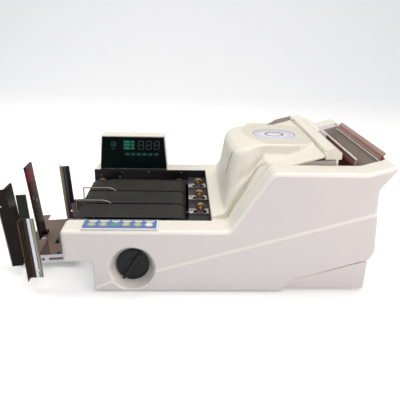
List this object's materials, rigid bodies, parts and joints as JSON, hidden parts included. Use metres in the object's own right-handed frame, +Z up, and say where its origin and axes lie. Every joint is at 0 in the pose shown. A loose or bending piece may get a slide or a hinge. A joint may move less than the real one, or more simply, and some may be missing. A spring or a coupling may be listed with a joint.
{
  "type": "banknote counting and sorting machine",
  "caption": "Table-top machine that draws sheets from a rear hopper, carries them along a belt tray past a keypad and display, and stacks them against paddles at the front.",
  "frame": {"origin": "centre of the footprint (bounding box) on the table surface", "axes": "+X along the machine towards the hopper end, -X towards the stacker, -Y towards the operator, +Z up"},
  "size_m": [0.4794, 0.285, 0.175],
  "materials": {
    "panel_grey": "fine moulded texture",
    "panel_cream": "fine moulded texture",
    "plate_black": "satin black paint",
    "feet_rubber": "matt",
    "belt_woven": "woven surface",
    "bronze": "plain bearing bronze",
    "nickel": "nickel plated",
    "race_brass": "bright",
    "wire_chrome": "polished",
    "window_smoked": "smoked green acrylic",
    "board_green": "solder mask",
    "lamp_segments": "diffused lamp blocks",
    "key_strip_blue": "printed film",
    "key_lime": "glossy",
    "key_teal": "glossy",
    "key_white": "glossy",
    "knob_black": "satin",
    "encoder_metal": "brushed",
    "cheek_smoked": "smoked acrylic",
    "plate_red_brown": "tinted acrylic",
    "chute_taupe": "moulded",
    "roller_steel": "turned",
    "roller_rubber": "ground rubber on steel",
    "separator_rubber": "ground rubber on steel",
    "motor_steel": "satin",
    "pulley_aluminium": "turned",
    "belt_black": "matt",
    "supply_brown": "varnished",
    "inlet_black": "moulded",
    "floor_brown": "fine texture",
    "post_chrome": "polished",
    "paddle_red": "transparent red acrylic",
    "paddle_smoked": "smoked acrylic"
  },
  "bodies": {
    "chassis": {"base_pan": "panel_grey", "side_panel_near": "panel_grey", "side_panel_far": "panel_grey", "rear_panel": "panel_cream", "rubber_feet": "feet_rubber", "frame_plate_near": "plate_black", "frame_plate_far": "plate_black", "tray_floor": "plate_black", "belt_near": "belt_woven", "belt_mid": "belt_woven", "belt_far": "belt_woven", "shaft_bushes": "bronze", "pinch_bracket_near": "nickel", "pinch_bracket_mid": "nickel", "pinch_bracket_far": "nickel", "sheet_wire_near": "wire_chrome", "sheet_wire_far": "wire_chrome", "display_housing": "panel_cream", "display_window": "window_smoked", "display_board": "board_green", "display_leds": "lamp_segments", "button_plate": "key_strip_blue", "knob_encoder": "encoder_metal", "hopper_bridge": "panel_cream", "cheek_near": "cheek_smoked", "cheek_far": "cheek_smoked", "hopper_front_plate": "plate_red_brown", "hopper_rear_plate": "plate_red_brown", "hopper_chute": "chute_taupe", "motor": "motor_steel", "drive_belt": "belt_black", "main_board": "board_green", "power_supply": "supply_brown", "power_inlet": "inlet_black"},
    "cover": {"top_cover": "panel_cream"},
    "knob": {"speed_knob": "knob_black"},
    "key_1": {"button_1": "key_lime"},
    "key_2": {"button_2": "key_lime"},
    "key_3": {"button_3": "key_teal"},
    "key_4": {"button_4": "key_lime"},
    "key_5": {"button_5": "key_lime"},
    "key_6": {"button_6": "key_white"},
    "switch": {"power_switch": "inlet_black"},
    "pinch_near": {"pinch_roller_near": "race_brass"},
    "pinch_mid": {"pinch_roller_mid": "race_brass"},
    "pinch_far": {"pinch_roller_far": "race_brass"},
    "drive": {"drive_roller": "roller_steel"},
    "idler": {"idler_roller": "roller_steel"},
    "exit": {"exit_roller": "roller_rubber"},
    "feed": {"feed_roller": "roller_rubber"},
    "separator": {"separator_roller": "separator_rubber"},
    "motor_drive": {"motor_pulley": "pulley_aluminium"},
    "stacker": {"stacker_floor": "floor_brown", "stacker_rail_near": "post_chrome", "stacker_rail_far": "post_chrome", "stack_post_near": "post_chrome", "stack_post_far": "post_chrome", "stop_panel": "paddle_smoked"},
    "paddle_far": {"stop_paddle_far": "paddle_red"},
    "paddle_near": {"stop_paddle_near": "paddle_smoked"}
  },
  "joints": [
    {"name": "top_cover_hinge", "type": "hinge", "parent": "chassis", "child": "cover", "pos_m": [0.16323, 0, 0.1675], "axis": [0, 1, 0], "range_deg": [0, 55]},
    {"name": "knob_turn", "type": "hinge", "parent": "chassis", "child": "knob", "pos_m": [-0.06757, -0.127, 0.032], "axis": [0, 1, 0], "range_deg": [-150, 150]},
    {"name": "key_1_press", "type": "slide", "parent": "chassis", "child": "key_1", "axis": [0, 0, -1], "range_m": [0, 0.0008]},
    {"name": "key_2_press", "type": "slide", "parent": "chassis", "child": "key_2", "axis": [0, 0, -1], "range_m": [0, 0.0008]},
    {"name": "key_3_press", "type": "slide", "parent": "chassis", "child": "key_3", "axis": [0, 0, -1], "range_m": [0, 0.0008]},
    {"name": "key_4_press", "type": "slide", "parent": "chassis", "child": "key_4", "axis": [0, 0, -1], "range_m": [0, 0.0008]},
    {"name": "key_5_press", "type": "slide", "parent": "chassis", "child": "key_5", "axis": [0, 0, -1], "range_m": [0, 0.0008]},
    {"name": "key_6_press", "type": "slide", "parent": "chassis", "child": "key_6", "axis": [0, 0, -1], "range_m": [0, 0.0008]},
    {"name": "power_switch_rock", "type": "hinge", "parent": "chassis", "child": "switch", "pos_m": [0.21883, 0.0827, 0.0571], "axis": [0, 1, 0], "range_deg": [-7, 7]},
    {"name": "drive_spin", "type": "hinge", "parent": "chassis", "child": "drive", "pos_m": [-0.01357, 0, 0.06], "axis": [0, 1, 0], "continuous": true},
    {"name": "idler_spin", "type": "hinge", "parent": "chassis", "child": "idler", "pos_m": [-0.13857, 0, 0.06], "axis": [0, 1, 0], "continuous": true},
    {"name": "exit_spin", "type": "hinge", "parent": "chassis", "child": "exit", "pos_m": [0.01643, 0, 0.062], "axis": [0, 1, 0], "continuous": true},
    {"name": "feed_spin", "type": "hinge", "parent": "chassis", "child": "feed", "pos_m": [0.17843, 0, 0.058], "axis": [0, 1, 0], "continuous": true},
    {"name": "separator_spin", "type": "hinge", "parent": "chassis", "child": "separator", "pos_m": [0.17343, 0, 0.0963], "axis": [0, 1, 0], "continuous": true},
    {"name": "motor_spin", "type": "hinge", "parent": "chassis", "child": "motor_drive", "pos_m": [0.05243, 0.116, 0.03], "axis": [0, 1, 0], "continuous": true},
    {"name": "pinch_near_spin", "type": "hinge", "parent": "chassis", "child": "pinch_near", "pos_m": [0.01643, -0.0525, 0.07705], "axis": [0, 1, 0], "continuous": true},
    {"name": "pinch_mid_spin", "type": "hinge", "parent": "chassis", "child": "pinch_mid", "pos_m": [0.01643, 0, 0.07705], "axis": [0, 1, 0], "continuous": true},
    {"name": "pinch_far_spin", "type": "hinge", "parent": "chassis", "child": "pinch_far", "pos_m": [0.01643, 0.0525, 0.07705], "axis": [0, 1, 0], "continuous": true},
    {"name": "stacker_slide", "type": "slide", "parent": "chassis", "child": "stacker", "axis": [0.9976, 0, 0.0698], "range_m": [-0.015, 0.02]},
    {"name": "paddle_far_slide", "type": "slide", "parent": "stacker", "child": "paddle_far", "axis": [0.9976, 0, 0.0698], "range_m": [-0.006, 0.006]},
    {"name": "paddle_near_slide", "type": "slide", "parent": "stacker", "child": "paddle_near", "axis": [0.9976, 0, 0.0698], "range_m": [-0.006, 0.006]}
  ],
  "couplings": [
    {"joint": "idler_spin", "follows": "drive_spin", "ratio": 1},
    {"joint": "exit_spin", "follows": "drive_spin", "ratio": 1.3333},
    {"joint": "feed_spin", "follows": "drive_spin", "ratio": 0.63158},
    {"joint": "separator_spin", "follows": "drive_spin", "ratio": 0.25},
    {"joint": "motor_spin", "follows": "drive_spin", "ratio": 2.1331},
    {"joint": "pinch_near_spin", "follows": "drive_spin", "ratio": -2},
    {"joint": "pinch_mid_spin", "follows": "drive_spin", "ratio": -2},
    {"joint": "pinch_far_spin", "follows": "drive_spin", "ratio": -2}
  ]
}
